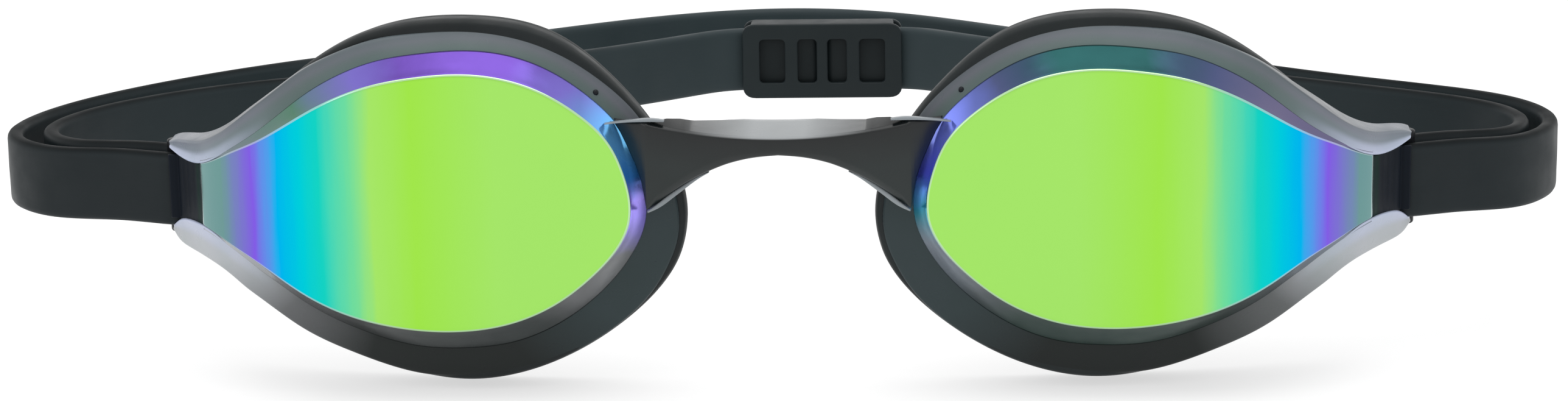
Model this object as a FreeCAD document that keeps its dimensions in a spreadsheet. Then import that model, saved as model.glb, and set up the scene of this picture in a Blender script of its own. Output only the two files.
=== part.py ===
"""Swim goggles: two mirrored lens mouldings with soft gaskets, a nose bridge, a silicone strap and its buckle.

Frame: +X to the wearer's left eye, +Y towards the back of the head, +Z up, millimetres.
The origin is at the bottom centre of the whole object's box.
"Depth" is measured along +Y from the flat front of the lenses.
"""
import FreeCAD
import Part
import Sketcher
import math
import os

# alias, value in mm (degrees for an angle), what it is
SIZES = [
    ("front_setback", 59.9, "lens front ahead of the origin"),
    ("bend_start", 49.0, "X where the flat front starts to wrap back"),
    ("bend_radius", 26.0, "radius of the wrap"),
    ("bend_angle", 55.0, "how far the temple end is turned back"),
    ("bevel_depth", 6.0, "depth of the bevel, from the front to the flange"),
    ("panel_thickness", 1.8, "front panel of the lens"),
    ("seam_gap", 0.1, "clearance between the flange and its gasket"),
    ("front_run", 16.0, "straight front beyond the wrap"),
    ("cut_height", 60.0, "top of the blocks that the plan shapes are cut from"),
    ("cut_drop", 10.0, "how far those blocks reach below the ground"),
    ("cut_depth", 45.0, "how far back the cutting shapes reach"),
    ("cut_inner", 6.0, "X where the plan shapes start, beside the nose"),
    ("cut_outer", 82.0, "X where the plan shapes end, beyond the ear"),
    ("slot_inner", 69.3, "X of the ear slot's inner end"),
    ("slot_length", 12.0, "the ear slot runs out through the temple end"),
    ("slot_height", 9.2, "height of the ear slot"),
    ("post_x", 75.0, "X of the ear post"),
    ("post_depth", 21.0, "depth of the ear post"),
    ("post_radius", 1.2, "ear post"),
    ("post_length", 11.6, "ear post, with its ends inside the ear arms"),
    ("rail_thickness", 0.8, "lips of the nose socket"),
    ("rail_front", 1.0, "depth where the socket lips start"),
    ("rail_depth", 4.2, "how deep the socket lips are"),
    ("rail_length", 7.5, "upper socket lip, along X"),
    ("rail_inner", 13.5, "X of the upper lip's free end"),
    ("rail_level", 34.0, "underside of the upper lip"),
    ("bridge_front", 1.0, "depth of the bridge's front face"),
    ("bridge_half", 15.9, "half length of the bridge, at its front"),
    ("bridge_heel", 11.6, "half length of the bridge, behind the bevels"),
    ("bridge_heel_depth", 5.6, "depth of the heel"),
    ("bridge_waist", 10.3, "half length of the bridge, between the gaskets"),
    ("bridge_back", 9.6, "depth of the bridge's back face"),
    ("bridge_base", 23.2, "lowest point of the bridge"),
    ("bridge_top", 33.7, "top of the bridge at its ends"),
    ("bridge_sag", 1.8, "how much lower the top is at the middle"),
    ("arch_rise", 6.2, "height of the arch under the bridge"),
    ("strap_width", 8.7, "strap"),
    ("strap_thickness", 2.0, "strap"),
    ("strap_level", 21.85, "height of the strap's middle"),
    ("wrap_clearance", 0.15, "strap to ear post"),
    ("wrap_angle", 22.0, "direction in which the strap leaves the ear, from X"),
    ("wrap_leg", 6.3, "straight strap beside the ear post"),
    ("buckle_x", 1.5, "middle of the buckle"),
    ("buckle_depth", 102.6, "depth of the buckle's middle"),
    ("buckle_length", 23.0, "buckle along the strap"),
    ("buckle_height", 10.8, "buckle"),
    ("buckle_thickness", 4.4, "buckle"),
    ("buckle_bore_height", 9.1, "passage for the strap"),
    ("buckle_bore", 2.8, "passage for the strap"),
    ("buckle_corner", 1.6, "rounded corners of the buckle"),
    ("window_height", 6.3, "buckle slots"),
    ("outer_window", 3.6, "width of the outer buckle slots"),
    ("inner_window", 2.7, "width of the inner buckle slots"),
    ("outer_window_x", 7.2, "outer slots from the buckle's middle"),
    ("inner_window_x", 2.15, "inner slots from the buckle's middle"),
]

# Outlines of the left eye's lens as (x, z), from the ear over the top and round the nose side back to the ear
FRONT_OUTLINE = [
    (76.3, 27.8), (68.3, 29.0), (58.3, 34.0), (49.0, 38.1), (38.0, 39.9), (27.5, 37.7), (21.5, 33.8),
    (18.1, 28.2), (17.3, 24.3), (18.4, 19.8), (22.5, 15.3), (29.0, 10.8), (38.1, 8.9), (47.0, 9.7),
    (57.5, 13.8), (66.5, 17.0), (76.3, 16.5),
]
FLANGE_OUTLINE = [
    (76.3, 28.2), (68.3, 31.2), (58.3, 38.4), (49.0, 42.6), (37.4, 44.1), (27.2, 42.1), (20.2, 37.2),
    (15.1, 31.0), (12.0, 22.0), (14.2, 14.2), (20.6, 7.3), (29.0, 2.9), (37.7, 1.9), (46.4, 2.9),
    (58.2, 8.2), (66.5, 14.3), (76.3, 15.9),
]
# Closed outlines: the eye space at the front and at the flange, and the outside of the gasket
EYE_FRONT_OUTLINE = [
    (65.5, 22.2), (58.0, 31.0), (49.0, 35.7), (38.0, 37.9), (28.5, 35.3), (22.8, 31.0), (19.5, 24.6),
    (21.0, 19.8), (25.0, 16.0), (30.0, 13.0), (38.1, 11.2), (47.0, 12.0), (57.0, 15.4),
]
EYE_BACK_OUTLINE = [
    (66.3, 22.4), (59.8, 33.2), (49.5, 38.4), (37.4, 40.2), (28.5, 38.0), (21.0, 32.4), (16.0, 22.4),
    (17.6, 15.6), (23.0, 9.9), (30.0, 6.1), (37.7, 4.7), (46.2, 5.7), (58.4, 11.1),
]
GASKET_OUTLINE = [
    (69.6, 22.4), (67.2, 30.2), (59.4, 38.1), (49.3, 43.6), (37.0, 45.3), (26.8, 43.3), (19.6, 37.8),
    (14.2, 31.0), (11.1, 21.9), (13.4, 13.6), (20.3, 6.1), (29.0, 1.5), (37.7, 0.0), (46.4, 1.4),
    (58.4, 6.8), (66.6, 14.2),
]
# Plan curves as (x, depth): the back of the lens moulding and the face seal
LENS_BACK = [(6.0, 6.0), (50.0, 6.2), (60.0, 8.6), (66.5, 13.0), (71.0, 18.0), (80.0, 29.8)]
FACE_SEAL = [(6.0, 12.0), (30.0, 12.6), (50.0, 14.8), (62.0, 18.2), (72.0, 23.0)]
# Middle line of the strap in plan, as (x, depth)
OUTER_BAND = [
    (82.9, 21.7), (88.0, 24.3), (92.9, 28.9), (95.9, 35.5), (95.3, 43.0), (91.0, 50.4), (83.0, 56.8),
    (69.0, 66.5), (46.5, 86.0), (24.0, 105.4), (11.0, 114.8), (-4.0, 118.8), (-20.0, 114.6),
    (-45.0, 98.2), (-73.0, 79.0), (-84.0, 67.6), (-91.8, 56.0), (-96.2, 43.5), (-96.2, 33.5),
    (-92.1, 26.4), (-82.9, 21.6),
]
INNER_LEFT = [
    (2.0, 102.6), (7.0, 102.6), (12.0, 102.6), (15.5, 101.7), (20.0, 98.4), (45.0, 77.0), (66.0, 60.4),
    (80.0, 50.0), (87.2, 42.6), (88.6, 35.6), (85.8, 29.6), (80.9, 26.9),
]
INNER_RIGHT = [
    (1.0, 102.6), (-4.0, 102.6), (-9.0, 102.6), (-12.5, 101.7), (-17.0, 98.4), (-42.0, 76.0), (-66.0, 62.6),
    (-81.0, 51.6), (-87.8, 43.0), (-88.8, 35.6), (-85.8, 29.6), (-80.9, 26.9),
]

doc = FreeCAD.newDocument("swim_goggles")
sheet = doc.addObject("Spreadsheet::Sheet", "sizes")
for row, (alias, value, meaning) in enumerate(SIZES, start=1):
    sheet.set(f"A{row}", alias)
    sheet.set(f"B{row}", str(value))
    sheet.set(f"C{row}", meaning)
    sheet.setAlias(f"B{row}", alias)
doc.recompute()


def size(alias):
    """The value of one cell of the sheet."""
    return float(sheet.get(alias))


def plan_point(x, depth, z=0.0):
    """A point given by its depth behind the lens fronts."""
    return FreeCAD.Vector(x, depth - size("front_setback"), z)


def bind(obj, **expressions):
    """Ties properties to the sheet; a double underscore stands for the dot in a property's path."""
    for path, expression in expressions.items():
        obj.setExpression(path.replace("__", "."), expression)
    return obj


def feature(name, shape):
    """A construction shape, worked out from the sheet by Part's own functions."""
    made = doc.addObject("Part::Feature", name)
    made.Shape = shape
    return made


def spline(points, closed=False):
    """An edge through the points; a closed one has no corner."""
    curve = Part.BSplineCurve()
    curve.interpolate(points, PeriodicFlag=closed)
    return curve.toShape()


def open_outline(points, depth):
    """A lens outline at a depth: one curve, closed by a straight edge at the ear."""
    corners = [plan_point(x, depth, z) for x, z in points]
    return Part.Wire([spline(corners), Part.makeLine(corners[-1], corners[0])])


def closed_outline(points, depth):
    """A smooth closed outline at a depth."""
    return Part.Wire([spline([plan_point(x, depth, z) for x, z in points], closed=True)])


def loft(name, wires):
    """A ruled solid through the wires."""
    sections = [feature(f"{name}_{i}", wire) for i, wire in enumerate(wires)]
    made = doc.addObject("Part::Loft", name)
    made.Sections = sections
    made.Solid = True
    made.Ruled = True
    return made


def block(name, face):
    """A plan face carried up through the whole height."""
    made = doc.addObject("Part::Extrusion", name)
    made.Base = feature(f"{name}_plan", face)
    made.DirMode = "Custom"
    made.Dir = FreeCAD.Vector(0, 0, 1)
    made.Solid = True
    bind(made, LengthFwd="sizes.cut_height", LengthRev="sizes.cut_drop")
    return made


def boolean(kind, name, base, tool):
    """A Part::Cut or Part::Common of two objects."""
    made = doc.addObject(f"Part::{kind}", name)
    made.Base, made.Tool = base, tool
    return made


def front_curve(inset):
    """The lens front in plan, moved back by inset: flat, then an arc, then straight to the ear."""
    start, radius = size("bend_start"), size("bend_radius")
    angle = math.radians(size("bend_angle"))
    inner = radius - inset

    def on_arc(turn):
        return plan_point(start + inner * math.sin(turn), radius - inner * math.cos(turn))

    end = on_arc(angle)
    tip = end + FreeCAD.Vector(math.cos(angle), math.sin(angle), 0) * size("front_run")
    return [
        Part.makeLine(plan_point(size("cut_inner"), inset), on_arc(0.0)),
        Part.Arc(on_arc(0.0), on_arc(angle / 2), end).toShape(),
        Part.makeLine(end, tip),
    ]


def plan_face(front_edges, back_edges):
    """The face between two plan curves that both run outwards."""
    first, last = front_edges[0].Vertexes[0].Point, front_edges[-1].Vertexes[-1].Point
    back_first, back_last = back_edges[0].Vertexes[0].Point, back_edges[-1].Vertexes[-1].Point
    edges = front_edges + [Part.makeLine(last, back_last)] + back_edges + [Part.makeLine(back_first, first)]
    return Part.Face(Part.Wire(Part.__sortEdges__(edges)))


def plan_spline(points, shift=0.0):
    """One plan curve through (x, depth) points, moved back by shift."""
    return [spline([plan_point(x, depth + shift) for x, depth in points])]


def mirrored(name, source):
    """The same piece on the other side of the nose."""
    made = doc.addObject("Part::Mirroring", name)
    made.Source = source
    made.Normal = FreeCAD.Vector(1, 0, 0)
    return made


# Lens moulding
bevel, cut_depth = size("bevel_depth"), size("cut_depth")
outside = loft("lens_outside", [
    open_outline(FRONT_OUTLINE, 0.0), open_outline(FLANGE_OUTLINE, bevel), open_outline(FLANGE_OUTLINE, cut_depth)])
lens_block = block("lens_block", plan_face(front_curve(0.0), plan_spline(LENS_BACK)))
moulding = boolean("Common", "moulding", outside, lens_block)

eye_space = loft("eye_space", [
    closed_outline(EYE_FRONT_OUTLINE, 0.0), closed_outline(EYE_BACK_OUTLINE, bevel),
    closed_outline(EYE_BACK_OUTLINE, cut_depth)])
back_line = Part.makeLine(plan_point(size("cut_inner"), cut_depth), plan_point(size("cut_outer"), cut_depth))
behind_panel = block("behind_panel", plan_face(front_curve(size("panel_thickness")), [back_line]))
hollow = boolean("Common", "hollow", eye_space, behind_panel)
shell = boolean("Cut", "shell", moulding, hollow)

ear_slot = doc.addObject("Part::Box", "ear_slot")
bind(ear_slot, Length="sizes.slot_length", Width="sizes.cut_depth", Height="sizes.slot_height",
     Placement__Base__x="sizes.slot_inner", Placement__Base__y="-sizes.front_setback",
     Placement__Base__z="sizes.strap_level - sizes.slot_height / 2")
slotted = boolean("Cut", "slotted", shell, ear_slot)

ear_post = doc.addObject("Part::Cylinder", "ear_post")
bind(ear_post, Radius="sizes.post_radius", Height="sizes.post_length",
     Placement__Base__x="sizes.post_x", Placement__Base__y="sizes.post_depth - sizes.front_setback",
     Placement__Base__z="sizes.strap_level - sizes.post_length / 2")
upper_lip = doc.addObject("Part::Box", "upper_lip")
bind(upper_lip, Length="sizes.rail_length", Width="sizes.rail_depth", Height="sizes.rail_thickness",
     Placement__Base__x="sizes.rail_inner", Placement__Base__y="sizes.rail_front - sizes.front_setback",
     Placement__Base__z="sizes.rail_level")
lower_lip = doc.addObject("Part::Box", "lower_lip")
bind(lower_lip, Length="sizes.rail_length", Width="sizes.rail_depth", Height="sizes.rail_thickness",
     Placement__Base__x="sizes.bridge_waist", Placement__Base__y="sizes.rail_front - sizes.front_setback",
     Placement__Base__z="sizes.bridge_base - 2 * sizes.rail_thickness")
lens = doc.addObject("Part::MultiFuse", "lens_left_solid")
lens.Shapes = [slotted, ear_post, upper_lip, lower_lip]
lens.Label = "lens_left"

# Gasket
gasket_outside = loft("gasket_outside", [
    closed_outline(GASKET_OUTLINE, 0.0), closed_outline(GASKET_OUTLINE, cut_depth)])
gasket_block = block("gasket_block", plan_face(
    plan_spline(LENS_BACK, size("seam_gap")), plan_spline(FACE_SEAL)))
gasket_ring = boolean("Common", "gasket_ring", gasket_outside, gasket_block)
gasket = boolean("Cut", "gasket_left_solid", gasket_ring, eye_space)
gasket.Label = "gasket_left"


def ribbon(name, points):
    """A flat strap that stands on edge along a middle line: a thin plan face carried up by the strap's width."""
    middle = spline([plan_point(x, depth) for x, depth in points])
    half = size("strap_thickness") / 2
    sides = ([], [])
    steps = 3 * len(points)
    for step in range(steps + 1):
        at = middle.FirstParameter + (middle.LastParameter - middle.FirstParameter) * step / steps
        along = middle.tangentAt(at)
        across = FreeCAD.Vector(-along.y, along.x, 0) * half
        sides[0].append(middle.valueAt(at) + across)
        sides[1].append(middle.valueAt(at) - across)
    first, second = sides
    edges = [spline(first), Part.makeLine(first[-1], second[-1]), spline(second), Part.makeLine(second[0], first[0])]
    return upright(name, Part.Face(Part.Wire(Part.__sortEdges__(edges))))


def upright(name, face):
    """A plan face of the strap carried up by the strap's width."""
    made = doc.addObject("Part::Extrusion", name + "_solid")
    made.Base = feature(name + "_plan", face)
    made.DirMode = "Custom"
    made.Dir = FreeCAD.Vector(0, 0, 1)
    made.Solid = True
    bind(made, LengthFwd="sizes.strap_width",
         Placement__Base__z="sizes.strap_level - sizes.strap_width / 2")
    made.Label = name
    return made


def wrap_face():
    """The strap's hairpin round the left ear post, with a straight leg on each side."""
    angle = math.radians(size("wrap_angle"))
    along = FreeCAD.Vector(math.cos(angle), math.sin(angle), 0)
    to_front = FreeCAD.Vector(along.y, -along.x, 0)
    post = plan_point(size("post_x"), size("post_depth"))
    leg = size("wrap_leg")
    inner = size("post_radius") + size("wrap_clearance")
    outer = inner + size("strap_thickness")

    def arc(radius):
        return Part.Arc(post + to_front * radius, post - along * radius, post - to_front * radius).toShape()

    def line(start, end):
        return Part.makeLine(post + start, post + end)

    edges = [arc(inner), arc(outer)]
    for side in (to_front, -to_front):
        edges.append(line(side * inner, side * inner + along * leg))
        edges.append(line(side * outer, side * outer + along * leg))
        edges.append(line(side * inner + along * leg, side * outer + along * leg))
    return Part.Face(Part.Wire(Part.__sortEdges__(edges)))


def new_body(name):
    """A body whose origin lies at the front of the lenses."""
    body = doc.addObject("PartDesign::Body", name + "_body")
    body.Label = name
    bind(body, Placement__Base__y="-sizes.front_setback")
    doc.recompute()
    return body


def new_sketch(body, name, role, lift=None):
    """A sketch on one of the body's own origin planes, lifted off it by a sheet expression."""
    plane = next(f for f in body.Origin.OriginFeatures if f.Role == role)
    sketch = body.newObject("Sketcher::SketchObject", name)
    sketch.AttachmentSupport = [(plane, "")]
    sketch.MapMode = "FlatFace"
    if lift:
        bind(sketch, AttachmentOffset__Base__z=lift)
    return sketch


def signed(name):
    """The value and the sheet expression of an alias, which may carry a minus sign."""
    alias = name.lstrip("-")
    if name.startswith("-"):
        return -size(alias), f"-sizes.{alias}"
    return size(alias), f"sizes.{alias}"


def place_vertex(sketch, geometry, end, x, y):
    """Ties one end of a sketch line to the sheet, from the sketch's origin."""
    for kind, (value, expression) in (("DistanceX", x), ("DistanceY", y)):
        index = sketch.addConstraint(Sketcher.Constraint(kind, -1, 1, geometry, end, value))
        sketch.setExpression(f"Constraints[{index}]", expression)


def polygon(sketch, corners):
    """A closed outline with straight sides; each corner is a pair of aliases."""
    placed = [(signed(x), signed(y)) for x, y in corners]
    first = sketch.GeometryCount
    count = len(placed)
    for i, (x, y) in enumerate(placed):
        next_x, next_y = placed[(i + 1) % count]
        sketch.addGeometry(Part.LineSegment(
            FreeCAD.Vector(x[0], y[0], 0), FreeCAD.Vector(next_x[0], next_y[0], 0)))
    for i, (x, y) in enumerate(placed):
        sketch.addConstraint(Sketcher.Constraint("Coincident", first + i, 2, first + (i + 1) % count, 1))
        place_vertex(sketch, first + i, 1, x, y)


def chord_and_arc(sketch, half_width, level, rise):
    """A level chord between two ends, closed by an arc that rises from it, or sags if the rise is negative."""
    x, y, height = signed(half_width), signed(level), signed(rise)
    radius = (x[0] ** 2 + height[0] ** 2) / (2 * abs(height[0]))
    rises = height[0] > 0
    reach = math.asin(x[0] / radius)
    top = math.pi / 2 if rises else 3 * math.pi / 2
    centre = FreeCAD.Vector(0, y[0] + height[0] + (-radius if rises else radius), 0)
    circle = Part.Circle(centre, FreeCAD.Vector(0, 0, 1), radius)
    sketch.addGeometry(Part.LineSegment(FreeCAD.Vector(-x[0], y[0], 0), FreeCAD.Vector(x[0], y[0], 0)))
    sketch.addGeometry(Part.ArcOfCircle(circle, top - reach, top + reach))
    arc_right, arc_left = (1, 2) if rises else (2, 1)
    sketch.addConstraint(Sketcher.Constraint("Coincident", 0, 1, 1, arc_left))
    sketch.addConstraint(Sketcher.Constraint("Coincident", 0, 2, 1, arc_right))
    place_vertex(sketch, 0, 1, (-x[0], "-" + x[1]), y)
    place_vertex(sketch, 0, 2, x, y)
    index = sketch.addConstraint(Sketcher.Constraint("Radius", 1, radius))
    sketch.setExpression(
        f"Constraints[{index}]", f"({x[1]} ^ 2 + ({height[1]}) ^ 2) / (2 * abs({height[1]}))")


def extrude(body, kind, name, sketch, **settings):
    """A Pad or a Pocket of a sketch; text settings are sheet expressions."""
    made = body.newObject(f"PartDesign::{kind}", name)
    made.Profile = sketch
    for key, value in settings.items():
        if key == "Length":
            made.setExpression(key, value)
        else:
            setattr(made, key, value)
    doc.recompute()
    return made


def make_bridge():
    """The nose bridge: a plan shape that narrows between the gaskets, arched below and sagged on top."""
    body = new_body("nose_bridge")
    plan = new_sketch(body, "bridge_plan", "XY_Plane", "sizes.bridge_base")
    right_side = [
        ("bridge_half", "bridge_front"), ("bridge_heel", "bridge_heel_depth"),
        ("bridge_waist", "bridge_heel_depth"), ("bridge_waist", "bridge_back"),
    ]
    left_side = [("-" + x, depth) for x, depth in reversed(right_side)]
    polygon(plan, right_side + left_side)
    extrude(body, "Pad", "bridge_block", plan, Length="sizes.bridge_top - sizes.bridge_base")
    arch = new_sketch(body, "bridge_arch", "XZ_Plane")
    chord_and_arc(arch, "bridge_half", "bridge_base", "arch_rise")
    extrude(body, "Pocket", "bridge_arch_cut", arch, Type="ThroughAll", Midplane=True)
    sag = new_sketch(body, "bridge_sag_line", "XZ_Plane")
    chord_and_arc(sag, "bridge_half", "bridge_top", "-bridge_sag")
    extrude(body, "Pocket", "bridge_sag_cut", sag, Type="ThroughAll", Midplane=True)
    return body


def centred_rectangle(sketch, x, y, width, height):
    """A rectangle about a middle point; each argument is a sheet expression with its value."""
    value_x, value_y, half_w, half_h = x[0], y[0], width[0] / 2, height[0] / 2
    first = sketch.GeometryCount
    corners = [(-1, -1), (1, -1), (1, 1), (-1, 1)]
    points = [FreeCAD.Vector(value_x + i * half_w, value_y + j * half_h, 0) for i, j in corners]
    for i in range(4):
        sketch.addGeometry(Part.LineSegment(points[i], points[(i + 1) % 4]))
    for i, (side, level) in enumerate(corners):
        sketch.addConstraint(Sketcher.Constraint("Coincident", first + i, 2, first + (i + 1) % 4, 1))
        place_vertex(
            sketch, first + i, 1,
            (points[i].x, f"{x[1]} + {side} * {width[1]} / 2"),
            (points[i].y, f"{y[1]} + {level} * {height[1]} / 2"))


def make_buckle():
    """The ladder buckle: a rounded block with a passage for the strap and four slots across it."""
    body = new_body("buckle")
    middle = (0.0, "0")
    level = signed("strap_level")
    bind(body, Placement__Base__x="sizes.buckle_x",
         Placement__Base__y="sizes.buckle_depth - sizes.front_setback")
    outline = new_sketch(body, "buckle_outline", "XZ_Plane")
    centred_rectangle(outline, middle, level, signed("buckle_length"), signed("buckle_height"))
    pad = extrude(body, "Pad", "buckle_block", outline, Length="sizes.buckle_thickness", Midplane=True)
    corners = [
        f"Edge{i}" for i, edge in enumerate(pad.Shape.Edges, start=1)
        if abs(edge.tangentAt(edge.FirstParameter).y) > 0.9
    ]
    rounding = body.newObject("PartDesign::Fillet", "buckle_rounding")
    rounding.Base = (pad, corners)
    bind(rounding, Radius="sizes.buckle_corner")
    passage = new_sketch(body, "buckle_passage", "YZ_Plane")
    centred_rectangle(passage, middle, level, signed("buckle_bore"), signed("buckle_bore_height"))
    extrude(body, "Pocket", "buckle_passage_cut", passage, Type="ThroughAll", Midplane=True)
    slots = new_sketch(body, "buckle_slots", "XZ_Plane")
    for place, width in (("outer_window_x", "outer_window"), ("inner_window_x", "inner_window")):
        for sign in ("-", ""):
            centred_rectangle(slots, signed(sign + place), level, signed(width), signed("window_height"))
    extrude(body, "Pocket", "buckle_slots_cut", slots, Type="ThroughAll", Midplane=True)
    return body


wrap = upright("strap_wrap_left", wrap_face())
outer_band = ribbon("strap_outer_band", OUTER_BAND)
inner_left = ribbon("strap_inner_left", INNER_LEFT)
inner_right = ribbon("strap_inner_right", INNER_RIGHT)
bridge = make_bridge()
buckle = make_buckle()
pieces = [lens, gasket, wrap, outer_band, inner_left, inner_right, bridge, buckle]
for piece in (lens, gasket, wrap):
    pieces.append(mirrored(piece.Label.replace("_left", "_right_solid"), piece))
    pieces[-1].Label = piece.Label.replace("_left", "_right")
doc.recompute()

failed = [o.Name for o in doc.Objects if {"Invalid", "Error"} & set(o.State)]
for piece in pieces:
    if piece.Shape.isNull() or not piece.Shape.isValid() or not piece.Shape.Solids:
        failed.append(piece.Label)
if failed:
    raise RuntimeError(f"these objects failed: {failed}")

os.makedirs("parts", exist_ok=True)
whole = FreeCAD.BoundBox()
for piece in pieces:
    piece.Shape.exportStep(f"parts/{piece.Label}.step")
    box = piece.Shape.BoundBox
    whole.add(box)
    print(f"{piece.Label}: {piece.Shape.Volume:.0f} mm3, {len(piece.Shape.Solids)} solid,"
          f" x {box.XMin:.1f} {box.XMax:.1f}, y {box.YMin:.1f} {box.YMax:.1f}, z {box.ZMin:.1f} {box.ZMax:.1f}")
print(f"whole: x {whole.XMin:.2f} {whole.XMax:.2f}, y {whole.YMin:.2f} {whole.YMax:.2f},"
      f" z {whole.ZMin:.2f} {whole.ZMax:.2f}")
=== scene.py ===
"""Looks of the swim goggles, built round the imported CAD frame.

Lengths in the tables are millimetres. "Depth" runs back from the flat front of the lenses.
"""

import bmesh
import bpy
import math
import numpy as np
from mathutils import Matrix, Vector

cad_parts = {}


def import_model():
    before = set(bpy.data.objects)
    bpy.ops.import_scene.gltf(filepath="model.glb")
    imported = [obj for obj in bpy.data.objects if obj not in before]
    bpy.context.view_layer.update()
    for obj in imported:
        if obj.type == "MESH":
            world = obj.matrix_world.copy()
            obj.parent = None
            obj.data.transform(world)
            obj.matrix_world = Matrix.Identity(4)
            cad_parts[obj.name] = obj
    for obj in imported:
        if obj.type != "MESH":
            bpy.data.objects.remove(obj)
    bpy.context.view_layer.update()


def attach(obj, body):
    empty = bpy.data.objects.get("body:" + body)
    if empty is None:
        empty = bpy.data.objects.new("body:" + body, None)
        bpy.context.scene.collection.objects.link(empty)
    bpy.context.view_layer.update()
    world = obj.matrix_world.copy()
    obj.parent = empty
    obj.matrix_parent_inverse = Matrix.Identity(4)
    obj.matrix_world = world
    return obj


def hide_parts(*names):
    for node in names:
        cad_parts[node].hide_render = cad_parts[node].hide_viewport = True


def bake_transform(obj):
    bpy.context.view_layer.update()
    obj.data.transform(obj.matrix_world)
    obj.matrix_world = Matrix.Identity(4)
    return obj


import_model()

MM = 0.001
SETBACK = 59.9
BEND_START, BEND_RADIUS, BEND_ANGLE = 49.0, 26.0, math.radians(55.0)
STRAP_LEVEL, STRAP_WIDTH, STRAP_THICKNESS = 21.85, 9.0, 2.0
EAR_LEVEL = 22.3
POST_X, POST_DEPTH = 75.0, 21.0
EAR_EDGE, SLOT_HALF = 70.1, 4.75
FOLD_ANGLE, FOLD_RADIUS, FOLD_LEG = math.radians(22.0), 2.35, 6.3
FACE_CENTRE = (45.0, 23.6)
BUCKLE_X, BUCKLE_DEPTH = 1.5, 102.6

# Lens on the wearer's left, from the upper ear tip round the nose side to the lower ear tip:
# face edge x, z, flange edge x, z, and how far the mirrored bevel reaches from one to the other
LENS_EDGES = [
    (75.2, 27.5, 75.5, 28.1, 0.0), (73.9, 27.1, 74.5, 28.6, 0.0), (72.3, 26.85, 72.6, 29.1, 0.0),
    (70.6, 27.0, 70.6, 29.6, 0.0), (68.8, 27.7, 68.2, 30.7, 0.03), (65.3, 29.55, 64.0, 33.7, 0.12),
    (61.9, 31.25, 60.4, 36.4, 0.24), (54.7, 35.55, 55.0, 40.1, 0.42), (48.6, 38.2, 49.0, 42.6, 0.48),
    (41.8, 39.5, 42.8, 43.7, 0.5), (37.5, 39.8, 37.4, 44.1, 0.5), (32.3, 39.3, 31.8, 43.6, 0.5),
    (27.5, 37.7, 27.2, 42.1, 0.48), (23.0, 34.9, 21.8, 38.8, 0.44), (19.6, 31.4, 16.6, 33.6, 0.4),
    (18.0, 27.8, 14.3, 29.1, 0.36), (17.3, 24.3, 12.4, 24.2, 0.32), (17.5, 21.9, 12.1, 19.8, 0.3),
    (18.6, 19.4, 13.4, 15.6, 0.3), (22.0, 15.5, 17.2, 10.3, 0.34), (26.0, 12.4, 22.4, 6.3, 0.38),
    (32.3, 9.7, 30.6, 2.7, 0.42), (38.1, 8.9, 37.7, 1.9, 0.42), (43.9, 9.2, 44.4, 2.5, 0.42),
    (49.8, 10.5, 51.4, 4.9, 0.38), (56.9, 13.5, 58.2, 8.4, 0.28), (62.5, 16.7, 63.6, 12.5, 0.16),
    (66.4, 18.4, 67.4, 14.7, 0.08), (69.4, 19.4, 70.4, 15.4, 0.02), (71.8, 19.5, 72.7, 15.6, 0.0),
    (73.9, 19.0, 74.6, 16.0, 0.0), (75.2, 17.9, 75.6, 16.9, 0.0),
]
# The outer edge of the gasket, as x, z
GASKET_EDGE = [
    (69.6, 22.4), (66.4, 29.5), (59.0, 37.3), (49.3, 43.4), (37.0, 45.3), (26.8, 43.3), (19.6, 37.8),
    (14.2, 31.0), (11.1, 21.9), (13.4, 13.6), (20.3, 6.1), (29.0, 1.5), (37.7, 0.0), (46.4, 1.4),
    (58.4, 6.8), (66.6, 14.2),
]
# Plan curves as x, depth: the back of the lens moulding, the face seal, and the middle lines of the strap
LENS_BACK = [(6.0, 6.0), (50.0, 6.2), (60.0, 8.6), (66.5, 13.0), (71.0, 18.0), (80.0, 29.8)]
FACE_SEAL = [(6.0, 12.0), (30.0, 12.6), (50.0, 14.8), (62.0, 18.2), (72.0, 23.0)]
OUTER_BAND = [
    (82.9, 21.7), (88.0, 24.1), (92.2, 28.8), (94.7, 35.5), (94.3, 43.0), (90.5, 50.4), (83.0, 56.8),
    (69.0, 66.5), (46.5, 86.0), (24.0, 105.4), (11.0, 114.8), (-4.0, 118.8), (-20.0, 114.6),
    (-45.0, 98.2), (-73.0, 79.0), (-84.6, 67.9), (-93.3, 56.3), (-98.4, 44.0), (-98.4, 33.6),
    (-93.4, 26.4), (-83.2, 21.6),
]
INNER_LEFT = [
    (2.0, 102.6), (7.0, 102.6), (12.0, 102.6), (15.5, 101.7), (20.0, 98.4), (45.0, 78.5), (66.5, 62.4),
    (81.0, 52.6), (89.8, 43.6), (91.2, 36.0), (88.0, 29.0), (80.9, 26.9),
]
INNER_RIGHT = [
    (1.0, 102.6), (-4.0, 102.6), (-9.0, 102.6), (-12.5, 101.7), (-17.0, 98.4), (-42.0, 80.0), (-69.0, 68.5),
    (-86.0, 56.5), (-93.6, 44.6), (-94.4, 36.0), (-89.6, 29.0), (-80.9, 26.9),
]


# ---------------------------------------------------------------- curves and meshes

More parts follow.
